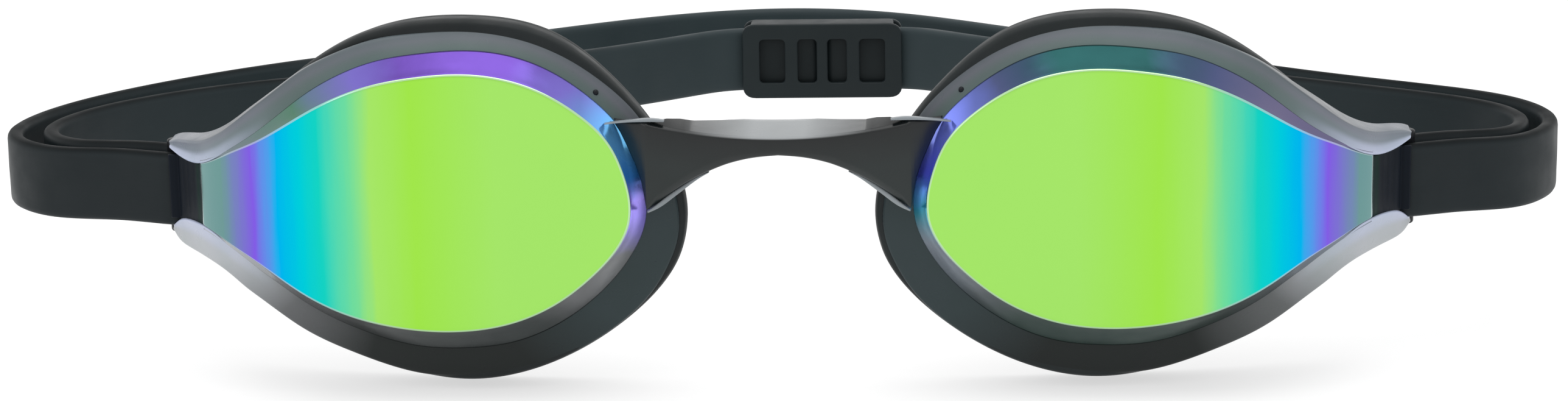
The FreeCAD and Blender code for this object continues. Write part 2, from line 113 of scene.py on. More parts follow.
def smooth_line(points, count, closed=False, stops=None):
    """A smooth curve through the points: count even samples, or samples at the point numbers in stops."""
    p = np.array(points, float)
    if closed:
        p = np.vstack([p, p[:1]])
    t = np.concatenate([[0.0], np.cumsum(np.linalg.norm(np.diff(p[:, :2], axis=0), axis=1))])
    h = np.diff(t)
    n = len(p)
    slope = np.diff(p, axis=0) / h[:, None]
    a, b = np.zeros((n, n)), np.zeros_like(p)
    for i in range(1, n - 1):
        a[i, i - 1:i + 2] = h[i - 1], 2 * (h[i - 1] + h[i]), h[i]
        b[i] = 6 * (slope[i] - slope[i - 1])
    a[0, 0] = a[-1, -1] = 1.0
    if closed:
        a[0, -1] = -1.0
        a[-1, :] = 0.0
        a[-1, 0], a[-1, 1], a[-1, -2], a[-1, -1] = 2 * h[0], h[0], h[-1], 2 * h[-1]
        b[-1] = 6 * (slope[0] - slope[-1])
    m = np.linalg.solve(a, b)

    def at(values):
        values = np.asarray(values, float)
        i = np.clip(np.searchsorted(t, values, side="right") - 1, 0, n - 2)
        u, v, s = (values - t[i])[:, None], (t[i + 1] - values)[:, None], h[i][:, None]
        return (m[i] * v ** 3 + m[i + 1] * u ** 3) / (6 * s) \
            + (p[i] / s - m[i] * s / 6) * v + (p[i + 1] / s - m[i + 1] * s / 6) * u

    if stops is not None:
        return at(np.interp(stops, np.arange(n), t))
    fine = np.linspace(0.0, t[-1], 4000)
    q = at(fine)
    run = np.concatenate([[0.0], np.cumsum(np.linalg.norm(np.diff(q[:, :2], axis=0), axis=1))])
    wanted = np.linspace(0.0, run[-1], count + 1 if closed else count)
    if closed:
        wanted = wanted[:-1]
    return at(np.interp(wanted, run, fine))


def step(x, low, high):
    """0 below low, 1 above high, smooth in between."""
    t = np.clip((np.asarray(x, float) - low) / (high - low), 0.0, 1.0)
    return t * t * (3 - 2 * t)


def bend(x):
    """Depth of the lens front at a distance from the nose: flat, an arc, then straight."""
    x = np.abs(np.asarray(x, float))
    reach = BEND_RADIUS * math.sin(BEND_ANGLE)
    past = np.clip(x - BEND_START, 0, reach)
    arc = BEND_RADIUS - np.sqrt(np.maximum(BEND_RADIUS ** 2 - past ** 2, 0))
    return arc + np.maximum(x - BEND_START - reach, 0) * math.tan(BEND_ANGLE)


def plan_depth(table, x):
    """Depth of a plan curve at x."""
    line = smooth_line(table, 200)
    return np.interp(np.abs(x), line[:, 0], line[:, 1])


def world(points):
    """(x, depth, z) points in millimetres, in the part's own frame in metres."""
    p = np.array(points, float).reshape(-1, 3)
    return np.stack([p[:, 0], p[:, 1] - SETBACK, p[:, 2]], axis=1) * MM


def rounded(corners, radii, steps=4):
    """A closed outline with rounded corners, each of steps + 1 points whatever its size."""
    c = np.array(corners, float)
    n = len(c)
    out = []
    for i in range(n):
        before, here, after = c[i - 1], c[i], c[(i + 1) % n]
        a, b = before - here, after - here
        la, lb = max(np.linalg.norm(a), 1e-9), max(np.linalg.norm(b), 1e-9)
        r = min(radii[i], 0.48 * la, 0.48 * lb)
        start, end = here + a / la * r, here + b / lb * r
        for k in range(steps + 1):
            t = k / steps
            out.append((1 - t) ** 2 * start + 2 * t * (1 - t) * here + t * t * end)
    return np.array(out)


def add_object(name, vertices, faces):
    """A smooth-shaded mesh object."""
    mesh = bpy.data.meshes.new(name)
    mesh.from_pydata([tuple(v) for v in vertices], [], [tuple(int(i) for i in f) for f in faces])
    mesh.validate()
    mesh.update()
    made = bpy.data.objects.new(name, mesh)
    bpy.context.scene.collection.objects.link(made)
    mesh.polygons.foreach_set("use_smooth", [True] * len(mesh.polygons))
    return made


def ring_faces(rows, count, closed_rows=False):
    """Quads between rings of count points each."""
    faces = []
    for i in range(rows if closed_rows else rows - 1):
        a, b = i * count, ((i + 1) % rows) * count
        for j in range(count):
            k = (j + 1) % count
            faces.append((a + j, b + j, b + k, a + k))
    return faces


def tube_faces(rows, count):
    """Quads between rings of count points each, and a flat face at each end."""
    faces = ring_faces(rows, count)
    faces.append(tuple(range(count)))
    faces.append(tuple(reversed(range((rows - 1) * count, rows * count))))
    return faces


def outward(obj):
    """Makes the faces of closed shells look outwards."""
    bm = bmesh.new()
    bm.from_mesh(obj.data)
    bmesh.ops.recalc_face_normals(bm, faces=bm.faces)
    bm.to_mesh(obj.data)
    bm.free()
    return obj


def face_out(obj):
    """Makes an open shell's outside look forwards."""
    if sum(p.normal.y * p.area for p in obj.data.polygons) > 0:
        obj.data.flip_normals()


def mirror_copy(obj, name):
    """The same piece on the wearer's other side, with its own mesh."""
    mesh = obj.data.copy()
    mesh.name = name
    mesh.transform(Matrix.Scale(-1, 4, (1, 0, 0)))
    mesh.flip_normals()
    made = bpy.data.objects.new(name, mesh)
    bpy.context.scene.collection.objects.link(made)
    for m in obj.modifiers:
        new = made.modifiers.new(m.name, m.type)
        for prop in m.bl_rna.properties:
            if not prop.is_readonly and prop.identifier not in ("name", "rna_type"):
                setattr(new, prop.identifier, getattr(m, prop.identifier))
    return made


def join(name, objects):
    """One object from several, keeping their materials."""
    bpy.ops.object.select_all(action="DESELECT")
    for o in objects:
        o.select_set(True)
    bpy.context.view_layer.objects.active = objects[0]
    bpy.ops.object.join()
    objects[0].name = name
    objects[0].data.name = name
    return objects[0]


# ---------------------------------------------------------------- materials

def colour(r, g, b):
    """A display colour from 0 to 255 as linear light."""
    out = []
    for v in (r, g, b):
        v = v / 255
        out.append(v / 12.92 if v <= 0.04045 else ((v + 0.055) / 1.055) ** 2.4)
    return (*out, 1.0)


class Nodes:
    """A small helper for writing a material's nodes."""

    def __init__(self, name):
        self.material = bpy.data.materials.new(name)
        self.material.use_nodes = True
        self.tree = self.material.node_tree
        self.shader = self.tree.nodes["Principled BSDF"]

    def new(self, kind, **values):
        node = self.tree.nodes.new(kind)
        for key, value in values.items():
            setattr(node, key, value)
        return node

    def link(self, source, target):
        self.tree.links.new(source, target)

    def put(self, socket, value):
        if hasattr(value, "is_output"):
            self.link(value, socket)
        else:
            socket.default_value = value

    def set(self, **values):
        for key, value in values.items():
            self.put(self.shader.inputs[key.replace("_", " ")], value)

    def math(self, operation, a, b=0.0, c=0.0):
        node = self.new("ShaderNodeMath", operation=operation)
        for socket, value in zip(node.inputs, (a, b, c)):
            self.put(socket, value)
        return node.outputs[0]

    def spread(self, value, low, high, to_low=0.0, to_high=1.0):
        node = self.new("ShaderNodeMapRange")
        for socket, v in zip(node.inputs, (value, low, high, to_low, to_high)):
            self.put(socket, v)
        return node.outputs[0]

    def ramp(self, value, stops, interpolation="LINEAR"):
        node = self.new("ShaderNodeValToRGB")
        ramp = node.color_ramp
        ramp.interpolation = interpolation
        ramp.elements.remove(ramp.elements[-1])
        ramp.elements[0].position = stops[0][0]
        for place, rgb in stops[1:]:
            ramp.elements.new(place)
        for element, (place, rgb) in zip(ramp.elements, stops):
            element.color = colour(*rgb)
        self.link(value, node.inputs[0])
        return node.outputs[0]

    def mix(self, share, a, b, blend="MIX"):
        node = self.new("ShaderNodeMix", data_type="RGBA", blend_type=blend)
        self.put(node.inputs[0], share)
        self.put(node.inputs[6], a)
        self.put(node.inputs[7], b)
        return node.outputs[2]

    def place(self):
        """The surface point in metres, and its x, y and z."""
        coordinates = self.new("ShaderNodeTexCoord").outputs["Object"]
        parts = self.new("ShaderNodeSeparateXYZ")
        self.link(coordinates, parts.inputs[0])
        return coordinates, parts.outputs

    def noise(self, vector, scale, detail=3.0, stretch=None):
        if stretch:
            mapping = self.new("ShaderNodeMapping")
            self.link(vector, mapping.inputs["Vector"])
            mapping.inputs["Scale"].default_value = stretch
            vector = mapping.outputs[0]
        node = self.new("ShaderNodeTexNoise")
        self.link(vector, node.inputs["Vector"])
        node.inputs["Scale"].default_value = scale
        node.inputs["Detail"].default_value = detail
        return node.outputs["Fac"]

    def uneven(self, vector, scale, low, high, detail=3.0):
        """A value that wanders between low and high."""
        return self.spread(self.noise(vector, scale, detail), 0.3, 0.7, low, high)

    def upward(self):
        """How far the surface faces up: 1 on a level top, 0 on an upright wall."""
        parts = self.new("ShaderNodeSeparateXYZ")
        self.link(self.new("ShaderNodeNewGeometry").outputs["Normal"], parts.inputs[0])
        return parts.outputs[2]

    def bump(self, height, strength):
        node = self.new("ShaderNodeBump")
        node.inputs["Strength"].default_value = strength
        node.inputs["Distance"].default_value = 0.2 * MM
        self.link(height, node.inputs["Height"])
        self.link(node.outputs[0], self.shader.inputs["Normal"])


# The palette, as display colours from 0 to 255
LIME, YELLOW_GREEN, MINT = (165, 230, 105), (160, 230, 75), (110, 220, 160)
TEAL, CYAN, AZURE = (20, 210, 195), (0, 205, 220), (0, 180, 240)
VIOLET, SEA_GREY = (130, 90, 230), (105, 150, 150)
PURPLE, LILAC, SKY, COBALT = (115, 80, 185), (135, 120, 220), (105, 180, 240), (50, 130, 215)
MAUVE, SLATE, PERIWINKLE, INDIGO = (120, 115, 150), (85, 95, 140), (125, 140, 245), (85, 95, 240)
SAGE, PINE, BOTTLE, SEA = (90, 140, 115), (30, 85, 85), (32, 60, 54), (30, 135, 155)
SILVER, PALE, MID_GREY, STEEL = (140, 148, 160), (200, 204, 208), (110, 112, 114), (100, 114, 118)
SMOKE_GREY, DARK_SMOKE, CHARCOAL, NEAR_BLACK = (80, 90, 95), (50, 64, 67), (46, 54, 54), (22, 29, 28)

# Millimetres from the nose, and the colour of the mirrored face there
FACE_COLOURS = [
    (34.0, LIME), (43.5, YELLOW_GREEN), (48.4, LIME), (51.0, MINT), (54.8, TEAL), (57.2, CYAN),
    (60.0, AZURE), (63.4, VIOLET), (67.6, SEA_GREY),
]
# Shares of a turn round the lens, and the colour of the mirrored bevel there; the dark stops round the bottom
# are painted shade
BEVEL_WEARER_RIGHT = [
    (0.03, SILVER), (0.11, SAGE), (0.185, LILAC), (0.24, PURPLE), (0.35, PURPLE), (0.4, LILAC), (0.445, SKY),
    (0.48, COBALT), (0.5, LILAC), (0.54, MID_GREY), (0.58, MID_GREY), (0.62, CHARCOAL), (0.82, CHARCOAL),
    (0.89, MID_GREY), (0.97, PALE),
]
BEVEL_WEARER_LEFT = [
    (0.03, MAUVE), (0.1, MAUVE), (0.17, SLATE), (0.25, PINE), (0.34, PINE), (0.39, SLATE), (0.44, PERIWINKLE),
    (0.485, INDIGO), (0.505, SEA), (0.53, SILVER), (0.58, SMOKE_GREY), (0.62, BOTTLE), (0.84, BOTTLE),
    (0.9, SMOKE_GREY), (0.97, SILVER),
]
# Shares of a turn round the lens, and the smoke colour there: the near-black stops round the bottom are painted
# shade, and the pale stops by the ears are the white floor painted in as if seen through the clear plastic
SMOKE_COLOURS = [
    (0.03, SILVER), (0.12, STEEL), (0.3, STEEL), (0.45, SMOKE_GREY), (0.49, DARK_SMOKE), (0.59, DARK_SMOKE),
    (0.66, NEAR_BLACK), (0.8, NEAR_BLACK), (0.89, MID_GREY), (0.95, PALE),
]


def around(nodes, x, z):
    """Share of a turn round the lens: 0 at the ear, a quarter at the top, a half at the nose."""
    sideways = nodes.math("SUBTRACT", nodes.math("ABSOLUTE", x), 43 * MM)
    up = nodes.math("SUBTRACT", z, 24 * MM)
    turn = nodes.math("DIVIDE", nodes.math("ARCTAN2", up, sideways), 2 * math.pi)
    return nodes.math("FRACT", nodes.math("ADD", turn, 1.0))


def face_colour(nodes, vector, x):
    """The mirror's colour, which changes where the lens wraps back."""
    streaks = nodes.noise(vector, 1.0, 3.0, (900, 900, 60))
    wobble = nodes.math("MULTIPLY", nodes.math("SUBTRACT", streaks, 0.5), 1.3 * MM)
    shifted = nodes.math("ABSOLUTE", nodes.math("SUBTRACT", x, 0.8 * MM))
    out = nodes.math("ADD", shifted, wobble)
    low, high = FACE_COLOURS[0][0], FACE_COLOURS[-1][0]
    share = nodes.spread(out, low * MM, high * MM)
    return nodes.ramp(share, [((u - low) / (high - low), rgb) for u, rgb in FACE_COLOURS])


def mirror_material():
    """The flat mirrored face: bands of colour by place, a faint cloudiness and a fine haze."""
    n = Nodes("mirror_coating")
    vector, (x, y, z) = n.place()
    tint = face_colour(n, vector, x)
    cloud = n.noise(vector, 55.0, 2.0)
    tint = n.mix(n.spread(cloud, 0.35, 0.75, 0.0, 0.10), tint, colour(214, 244, 160), "SOFT_LIGHT")
    tint = n.mix(1.0, tint, (0.85, 0.85, 0.85, 1.0), "MULTIPLY")
    n.set(Base_Color=tint, Metallic=1.0, Roughness=n.uneven(vector, 320.0, 0.09, 0.16))
    n.bump(n.noise(vector, 900.0, 2.0), 0.03)
    return n.material


def edge_material():
    """The bright line where the face turns into the bevel, a painted highlight: the face colour mixed with
    near-white, with painted shade darkening it more towards the bottom.
    """
    n = Nodes("mirror_edge")
    vector, (x, y, z) = n.place()
    # painted highlight: the face colour mixed 45 % towards near-white; below, painted shade mixes in a dark
    # green, more towards the bottom
    tint = n.mix(0.45, face_colour(n, vector, x), colour(225, 240, 240))
    tint = n.mix(n.spread(z, 14 * MM, 22 * MM, 0.28, 0.18), tint, colour(20, 40, 34))
    n.set(Base_Color=tint, Metallic=0.9, Roughness=n.uneven(vector, 400.0, 0.14, 0.24))
    return n.material


def bevel_material():
    """The mirrored bevel, whose colours change round the lens and differ from side to side; painted light makes
    it lighter near the nose, and painted shade darkens it round the bottom.
    """
    n = Nodes("mirror_bevel")
    vector, (x, y, z) = n.place()
    wobble = n.math("MULTIPLY", n.math("SUBTRACT", n.noise(vector, 180.0, 2.0), 0.5), 0.03)
    turn = n.math("ADD", around(n, x, z), wobble)
    side = n.math("GREATER_THAN", x, 0.0)
    tint = n.mix(side, n.ramp(turn, BEVEL_WEARER_RIGHT), n.ramp(turn, BEVEL_WEARER_LEFT))
    # painted light: the bevel is made 1.7 times lighter near the nose, where the bridge's wing shades it and it
    # reflects the dark bridge, and 0.75 times as light further out
    nose_painted_light = n.spread(n.math("ABSOLUTE", x), 17 * MM, 23 * MM, 1.7, 0.75)
    tint = n.mix(1.0, tint, nose_painted_light, "MULTIPLY")
    n.set(Base_Color=tint, Metallic=0.75, Roughness=n.uneven(vector, 300.0, 0.16, 0.26), Specular_IOR_Level=0.2)
    n.bump(n.noise(vector, 700.0, 2.0), 0.05)
    return n.material


def smoke_material():
    """Smoke plastic painted rather than see-through: painted shade makes it darker below, painted reflections
    of the coating make it greenish on top, and the white floor seen through its almost clear ears is painted in
    as near-white.
    """
    n = Nodes("smoke_polycarbonate")
    vector, (x, y, z) = n.place()
    out = n.math("ABSOLUTE", x)
    parts = n.new("ShaderNodeSeparateXYZ")
    n.link(n.new("ShaderNodeUVMap", uv_map="across").outputs[0], parts.inputs[0])
    share = parts.outputs[1]
    # painted reflection of the coating: greenish and lilac colours across the top of the flange, mixed up to 40
    # % over the ramp round the lens
    upper = n.spread(z, 26 * MM, 32 * MM)
    top = [(0.45, (92, 118, 106)), (0.62, (104, 120, 114)), (0.8, (128, 124, 136)), (1.0, (110, 112, 120))]
    tint = n.mix(n.math("MULTIPLY", upper, 0.4), n.ramp(around(n, x, z), SMOKE_COLOURS), n.ramp(share, top))
    wall = n.math("MULTIPLY", n.spread(share, 0.93, 1.0, 0.0, 0.6), n.spread(out, 52 * MM, 62 * MM))
    tint = n.mix(n.math("MULTIPLY", wall, upper), tint, colour(58, 62, 68))
    # painted light: near the ears the white floor seen through the almost clear plastic is painted in as
    # lavender-white, fading across the flange
    rim = [(0.0, (255, 255, 255)), (0.25, (230, 230, 230)), (0.6, (90, 90, 90)), (0.9, (40, 40, 40))]
    clear = n.math("MULTIPLY", n.ramp(share, rim, "EASE"), n.spread(out, 60 * MM, 69 * MM))
    tint = n.mix(n.math("MULTIPLY", clear, 0.9), tint, colour(212, 220, 248))
    # painted reflection: random greenish patches, for the coating's reflections in the flange
    greener = n.mix(1.0, tint, colour(196, 222, 206), "MULTIPLY")
    tint = n.mix(n.spread(n.noise(vector, 120.0), 0.4, 0.8, 0.0, 0.35), tint, greener)
    tint = n.mix(1.0, tint, (0.66, 0.66, 0.66, 1.0), "MULTIPLY")
    n.set(Base_Color=tint, Roughness=n.uneven(vector, 350.0, 0.24, 0.36), Specular_IOR_Level=0.25)
    n.bump(n.noise(vector, 500.0, 2.0), 0.05)
    return n.material


def inside_material():
    """The uncoated back of the lens."""
    n = Nodes("lens_inside")
    vector = n.place()[0]
    tint = n.mix(n.noise(vector, 60.0, 2.0), colour(44, 50, 54), colour(70, 78, 84))
    n.set(Base_Color=tint, Roughness=n.uneven(vector, 300.0, 0.08, 0.16),
          Coat_Weight=0.6, Coat_Roughness=0.04, IOR=1.58)
    return n.material


def moulded_material(name, dark, light, rough_low, rough_high, grain, gloss=0.3, bump=0.12):
    """A moulded plastic or rubber with a fine grain, a slow random change of colour and uneven gloss."""
    n = Nodes(name)
    vector = n.place()[0]
    surface_colour = n.mix(n.uneven(vector, 45.0, 0.0, 1.0), colour(*dark), colour(*light))
    n.set(Base_Color=surface_colour, Roughness=n.uneven(vector, 260.0, rough_low, rough_high, 4.0),
          Specular_IOR_Level=gloss)
    n.bump(n.noise(vector, grain, 4.0), bump)
    return n.material


def strap_material():
    """Satin silicone of one dark colour with fine lengthwise streaks. Painted light makes it paler behind the
    head, a faint painted highlight runs along its edges, and painted shade darkens its top edge near the lenses
    and the part under the buckle's front plate."""
    n = Nodes("strap_silicone")
    vector, (x, y, z) = n.place()
    patch = n.uneven(vector, 30.0, 0.0, 1.0)
    # painted light and shade: one strap colour, painted darker at the front by the lenses and paler at the rear
    # behind the head
    front = n.mix(patch, colour(16, 24, 27), colour(24, 32, 35))
    rear = n.mix(patch, colour(35, 46, 49), colour(44, 55, 58))
    surface_colour = n.mix(n.spread(y, -25 * MM, 25 * MM), front, rear)
    # painted highlight: a faint lighter band along the strap's top and bottom edges
    edge = n.spread(n.math("ABSOLUTE", n.math("SUBTRACT", z, STRAP_LEVEL * MM)), 3.6 * MM, 4.4 * MM)
    surface_colour = n.mix(n.math("MULTIPLY", edge, 0.12), surface_colour, colour(36, 44, 47))
    # painted shade: the strap is painted near black where the buckle's front plate covers it, for the shade
    # seen through the buckle's windows
    beside = n.math("ABSOLUTE", n.math("SUBTRACT", x, BUCKLE_X * MM))
    buckle_shade = n.spread(beside, 9.3 * MM, 10.0 * MM, 0.75, 0.0)
    buckle_shade = n.math("MULTIPLY", buckle_shade, n.spread(y, 46 * MM, 48 * MM, 1.0, 0.0))
    buckle_shade = n.math("MULTIPLY", buckle_shade, n.math("GREATER_THAN", y, 40 * MM))
    surface_colour = n.mix(buckle_shade, surface_colour, colour(4, 8, 9))
    # painted shade: upward faces near the lenses are painted near black, and their gloss is turned down there
    # too
    top = n.math("MULTIPLY", n.spread(n.upward(), 0.2, 0.9, 0.0, 0.8), n.spread(y, 15 * MM, 35 * MM, 1.0, 0.0))
    surface_colour = n.mix(top, surface_colour, colour(6, 9, 10))
    n.set(Base_Color=surface_colour, Roughness=n.uneven(vector, 200.0, 0.44, 0.6, 4.0),
          Specular_IOR_Level=n.spread(top, 0.0, 1.0, 0.2, 0.02))
    n.bump(n.noise(vector, 1.0, 4.0, (260, 260, 2600)), 0.10)
    return n.material


def bridge_material():
    """Dark moulded plastic, with a painted highlight making it pale on top at the middle, and painted shade
    making the front a little darker towards its upper edge.
    """
    n = Nodes("bridge_plastic")
    vector, (x, y, z) = n.place()
    # painted shade: the front is darkened within about 4.5 mm below its curved upper edge, where it turns under
    # the top
    upper_edge = n.math("ADD", n.math("MULTIPLY", n.math("MULTIPLY", x, x), 7.9), 31.75 * MM)
    below = n.math("SUBTRACT", upper_edge, z)
    surface_colour = n.mix(n.uneven(vector, 45.0, 0.0, 1.0), colour(15, 23, 23), colour(22, 31, 31))
    surface_colour = n.mix(n.spread(below, 0.5 * MM, 4.5 * MM, 1.0, 0.0), surface_colour, colour(8, 13, 14))
    # painted highlight: upward faces near the middle are mixed towards pale grey
    middle = n.spread(n.math("ABSOLUTE", x), 3 * MM, 11 * MM, 0.6, 0.0)
    surface_colour = n.mix(n.math("MULTIPLY", n.spread(n.upward(), 0.45, 0.85), middle), surface_colour, colour(176, 180, 182))
    n.set(Base_Color=surface_colour, Roughness=n.uneven(vector, 260.0, 0.24, 0.36, 4.0), Specular_IOR_Level=0.4)
    n.bump(n.noise(vector, 900.0, 4.0), 0.06)
    return n.material


def ear_slot_wall_and_shade_material():
    """Dark polished bar in the ear slot, with a greenish edge where the mirror coating runs out; its dark
    colour is partly painted shade, for the shade that falls in the slot.
    """
    n = Nodes("ear_slot_wall_and_shade")
    vector, (x, y, z) = n.place()
    out = n.math("ABSOLUTE", x)
    tint = n.mix(n.spread(out, 70.6 * MM, 71.2 * MM), colour(7, 36, 30), colour(12, 18, 26))
    streaks = n.noise(vector, 1.0, 3.0, (1500, 1500, 80))
    tint = n.mix(n.spread(streaks, 0.4, 0.7, 0.0, 0.5), tint, colour(18, 25, 35))
    n.set(Base_Color=tint, Roughness=n.uneven(vector, 300.0, 0.4, 0.52), Specular_IOR_Level=0.08)
    n.bump(n.noise(vector, 1.0, 3.0, (1800, 1800, 60)), 0.15)
    return n.material


MIRROR, EDGE, BEVEL = mirror_material(), edge_material(), bevel_material()
SMOKE, INSIDE = smoke_material(), inside_material()
BRIDGE, EAR_SLOT_WALL_AND_SHADE, SILICONE = bridge_material(), ear_slot_wall_and_shade_material(), strap_material()
RUBBER = moulded_material("gasket_rubber", (17, 22, 23), (26, 32, 33), 0.45, 0.62, 1500.0, 0.25, 0.18)
BUCKLE = moulded_material("buckle_plastic", (21, 28, 30), (29, 37, 39), 0.4, 0.55, 1100.0, gloss=0.2)
PIN = moulded_material("moulding_point", (8, 11, 15), (14, 18, 24), 0.3, 0.4, 1200.0, gloss=0.2)
# the clear lips by the bridge are real parts, painted pale grey as a painted highlight for the light their
# clear plastic catches
LIP = moulded_material("clear_lip", (112, 118, 122), (136, 142, 146), 0.2, 0.3, 700.0, bump=0.03)


def dress(obj, *materials):
    """Gives a piece its material slots."""
    for m in materials:
        obj.data.materials.append(m)
    return obj


# ---------------------------------------------------------------- lens

SAMPLES = 300                       # round the lens edge
NUMBERS = np.linspace(0.0, len(LENS_EDGES) - 1.0, SAMPLES)
LINES = smooth_line(LENS_EDGES, 0, stops=NUMBERS)
FACE_EDGE, FLANGE_EDGE = LINES[:, 0:2], LINES[:, 2:4]
BEVEL_SHARE = np.clip(LINES[:, 4], 0.0, 1.0)
BEVEL_DEPTH, FLANGE_DEPTH = 3.7, 5.5


def across(i, k):
    """Point (x, z) of sample i at share k from the face edge to the flange edge."""
    return FACE_EDGE[i] + (FLANGE_EDGE[i] - FACE_EDGE[i]) * k


def front_depth(i, k):
    """Depth of the lens front at share k: down the bevel, then the flange; at the ear it follows the wrap."""
    share = max(BEVEL_SHARE[i], 0.2)
    if k <= share:
        profile = BEVEL_DEPTH * k / share
    else:
        profile = BEVEL_DEPTH + (FLANGE_DEPTH - BEVEL_DEPTH) * (k - share) / (1 - share)
    x = across(i, k)[0]
    wrap = float(bend(x)) + 0.12 * profile
    width = min(0.6, 0.3 * float(bend(x)))
    deep = 0.5 * (wrap + profile + math.sqrt((wrap - profile) ** 2 + width ** 2))
    lip = 0.4 * float(step(x, 65.0, 69.5)) * math.exp(-((k - 0.08) / 0.14) ** 2)
    return deep - lip


def lens_mirror():
    """The mirrored face, its bright edge line, which is a painted highlight, and the mirrored bevel."""
    first = int(np.argmax(FACE_EDGE[:, 0] <= EAR_EDGE))
    last = SAMPLES - 1 - int(np.argmax(FACE_EDGE[::-1, 0] <= EAR_EDGE))
    edge, outer, outer_depth = [], [], []
    for i in range(first, last + 1):
        edge.append(FACE_EDGE[i])
        share = BEVEL_SHARE[i]
        gap = np.linalg.norm(FLANGE_EDGE[i] - FACE_EDGE[i])
        k = max(share, 0.35 / gap)
        outer.append(across(i, k))
        outer_depth.append(front_depth(i, k))
    top, bottom = FACE_EDGE[first], FACE_EDGE[last]
    steps = 40
    for j in range(1, steps):
        z = bottom[1] + (top[1] - bottom[1]) * j / steps
        edge.append((EAR_EDGE, z))
        outer.append((EAR_EDGE + 0.22, z))
        outer_depth.append(float(bend(EAR_EDGE)) + 1.3)
    edge, outer, outer_depth = np.array(edge), np.array(outer), np.array(outer_depth)
    n = len(edge)
    centre = np.array(FACE_CENTRE)
    inward = centre - edge
    inward /= np.linalg.norm(inward, axis=1)[:, None]
    rows = []

    def add_row(xz, depth):
        rows.append(np.stack([xz[:, 0], depth, xz[:, 1]], axis=1))

    face_rows = 34
    for j in range(face_rows):
        r = 0.02 + 0.98 * (j / (face_rows - 1)) ** 0.8
        xz = centre + (edge + inward * 0.22 - centre) * r
        add_row(xz, bend(xz[:, 0]))
    direction = outer - edge
    reach = np.linalg.norm(direction, axis=1)
    direction /= reach[:, None]
    for inset, sink in ((0.13, 0.02), (0.05, 0.06)):
        xz = edge + inward * inset
        add_row(xz, bend(xz[:, 0]) + sink)
    xz = edge + direction * 0.02
    add_row(xz, bend(xz[:, 0]) + 0.14)
    for share in (0.1, 0.35, 0.7, 0.95, 1.0):
        xz = edge + direction * (reach * share)[:, None]
        slope = outer_depth * share + (bend(edge[:, 0]) + 0.17) * (1 - share)
        add_row(xz, slope)
    points = np.concatenate(rows)
    faces = ring_faces(len(rows), n)
    top_point = np.array([[centre[0], 0.0, centre[1]]])
    vertices = world(np.concatenate([points, top_point]))
    middle = len(points)
    fan = [(middle, j, (j + 1) % n) for j in range(n)]
    made = add_object("lens_mirror_left", vertices, faces + fan)
    kinds = []
    for row in range(len(rows) - 1):
        kind = 0 if row < face_rows - 1 else (1 if row < face_rows + 2 else 2)
        kinds += [kind] * n
    kinds += [0] * n
    made.data.polygons.foreach_set("material_index", kinds)
    face_out(made)
    solid = made.modifiers.new("wall", "SOLIDIFY")
    solid.thickness = 0.7 * MM
    solid.offset = -1.0
    solid.material_offset = 3
    solid.material_offset_rim = 2
    return made


def lens_frame():
    """The smoke moulding behind the mirror: flange, side wall, and the two ear arms."""
    sections, spots = [], []
    for i in range(SAMPLES):
        share = BEVEL_SHARE[i]
        edge_x, edge_z = FACE_EDGE[i]
        flange_z = FLANGE_EDGE[i][1]
        ear = float(step(edge_x, 66.0, 69.0))
        slot = 0.0
        if ear > 0:
            limit = EAR_LEVEL + (SLOT_HALF if edge_z > EAR_LEVEL else -SLOT_HALF)
            slot = min(max((limit - edge_z) / (flange_z - edge_z), 0.03), 0.8)
        inner = 0.25 * (1 - ear) + slot * ear
        start = share * (1 - ear)
        back = float(plan_depth(LENS_BACK, across(i, 0.6)[0]))
        front = front_depth(i, 1.0)
        back = max(back, front + 0.7)
        lip = front_depth(i, start) + 0.95
        under = max(front_depth(i, inner) + (1.7 * (1 - ear) + 0.95 * ear), lip)
        under = min(under, back - 0.35)
        third, two_thirds = start + 0.34 * (1 - start), start + 0.68 * (1 - start)
        corners = [
            (start, front_depth(i, start) + 0.02 * (1 - ear)),
            (third, front_depth(i, third)),
            (two_thirds, front_depth(i, two_thirds)),
            (1.0, front),
            (1.0, back),
            (inner + 0.02, back),
            (inner, under),
            (start + 0.01, min(lip, under)),
        ]
        gap = np.linalg.norm(FLANGE_EDGE[i] - FACE_EDGE[i])
        flat = [(k * gap, d) for k, d in corners]
        outline = rounded(flat, [0.04 + 0.3 * ear, 0.6, 0.6, 0.35, 0.3, 0.2, 0.2, 0.2], 3)
        ring = []
        for along, depth in outline:
            x, z = across(i, along / gap)
            ring.append((x, depth, z))
        sections.append(np.array(ring))
        spots.append(outline[:, 0] / gap)
    count = len(sections[0])

    def capped(section, neighbour):
        """Rings that round off an end."""
        middle = section.mean(axis=0)
        along = section.mean(axis=0) - neighbour.mean(axis=0)
        along /= np.linalg.norm(along)
        out = []
        for turn in (25, 45, 62, 76, 86):
            a = math.radians(turn)
            out.append(middle + (section - middle) * math.cos(a) + along * 0.45 * math.sin(a))
        return out

    start_caps = capped(sections[0], sections[3])[::-1]
    end_caps = capped(sections[-1], sections[-4])
    shares = [spots[0]] * len(start_caps) + spots + [spots[-1]] * len(end_caps)
    rings = start_caps + sections + end_caps
    points = np.concatenate(rings)
    made = add_object("lens_frame_left", world(points), tube_faces(len(rings), count))
    layer = made.data.uv_layers.new(name="across")
    values = np.concatenate(shares)
    for loop in made.data.loops:
        layer.data[loop.index].uv = (0.5, values[loop.vertex_index])
    return outward(made)


